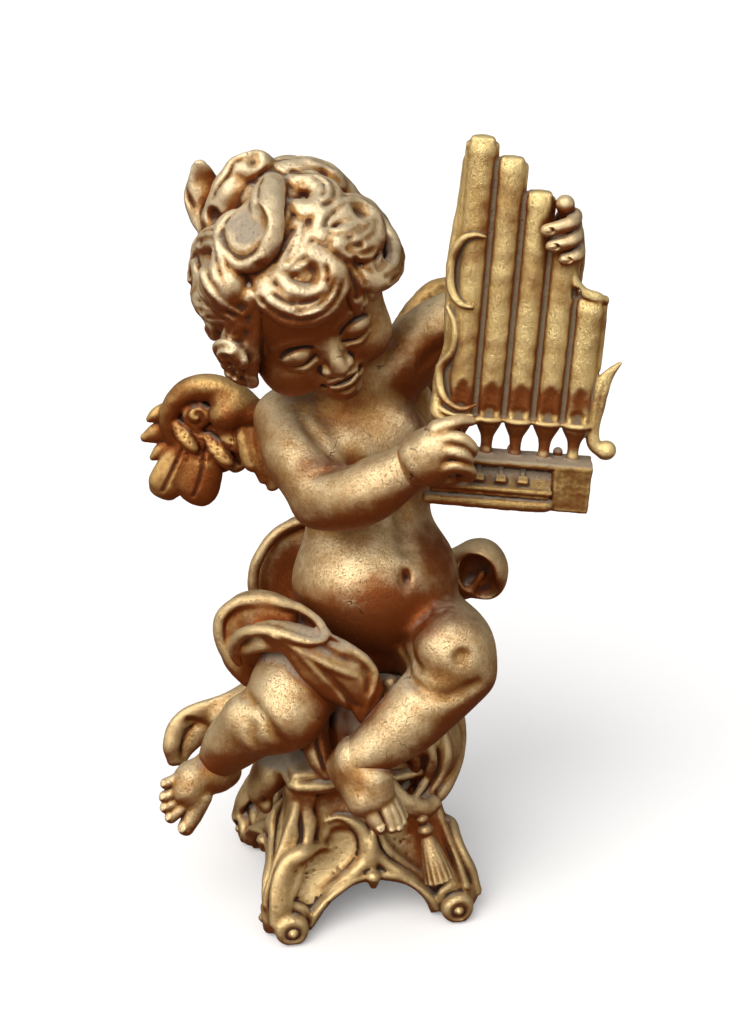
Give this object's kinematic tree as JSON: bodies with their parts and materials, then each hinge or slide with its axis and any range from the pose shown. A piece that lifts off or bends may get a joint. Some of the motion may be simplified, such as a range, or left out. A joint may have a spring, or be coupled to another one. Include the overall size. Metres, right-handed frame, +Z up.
{
  "type": "resin angel figurine",
  "caption": "Gilded cast-resin cherub seated on a scrolled pedestal, playing a small hand-held pipe organ; glued and dowelled castings on felt pads.",
  "frame": {"origin": "middle of the footprint box, on the floor under the felt pads", "axes": "+Z up, -Y is the way the figure faces, +X is the figure's left, where the organ is"},
  "size_m": [0.2356, 0.1618, 0.4042],
  "materials": {
    "gilt": "antique gold gilding on cast resin",
    "aged_gilt": "worn, darker antique gilding on cast resin",
    "steel": "drawn steel",
    "felt": "pressed wool felt"
  },
  "bodies": {
    "root": {"pedestal": "gilt", "organ_windchest": "aged_gilt", "organ_pipe_bank": "gilt", "torso": "gilt", "right_leg": "gilt", "left_leg": "gilt", "seat_drapery": "aged_gilt", "lap_drapery": "gilt", "right_arm": "gilt", "left_arm": "gilt", "left_hand": "gilt", "head": "gilt", "back_drapery": "aged_gilt", "right_wing": "gilt", "left_wing": "gilt", "tassel": "gilt", "neck_dowel": "steel", "right_shoulder_dowel": "steel", "left_shoulder_dowel": "steel", "right_hip_dowel": "steel", "left_hip_dowel": "steel", "right_wing_dowel": "steel", "left_wing_dowel": "steel", "left_wrist_dowel": "steel", "organ_side_dowel": "steel", "organ_dowel_left": "steel", "organ_dowel_right": "steel", "rod": "steel", "washer": "steel", "nut": "steel", "pad_front_left": "felt", "pad_front_right": "felt", "pad_back_right": "felt", "pad_back_left": "felt"}
  },
  "joints": []
}
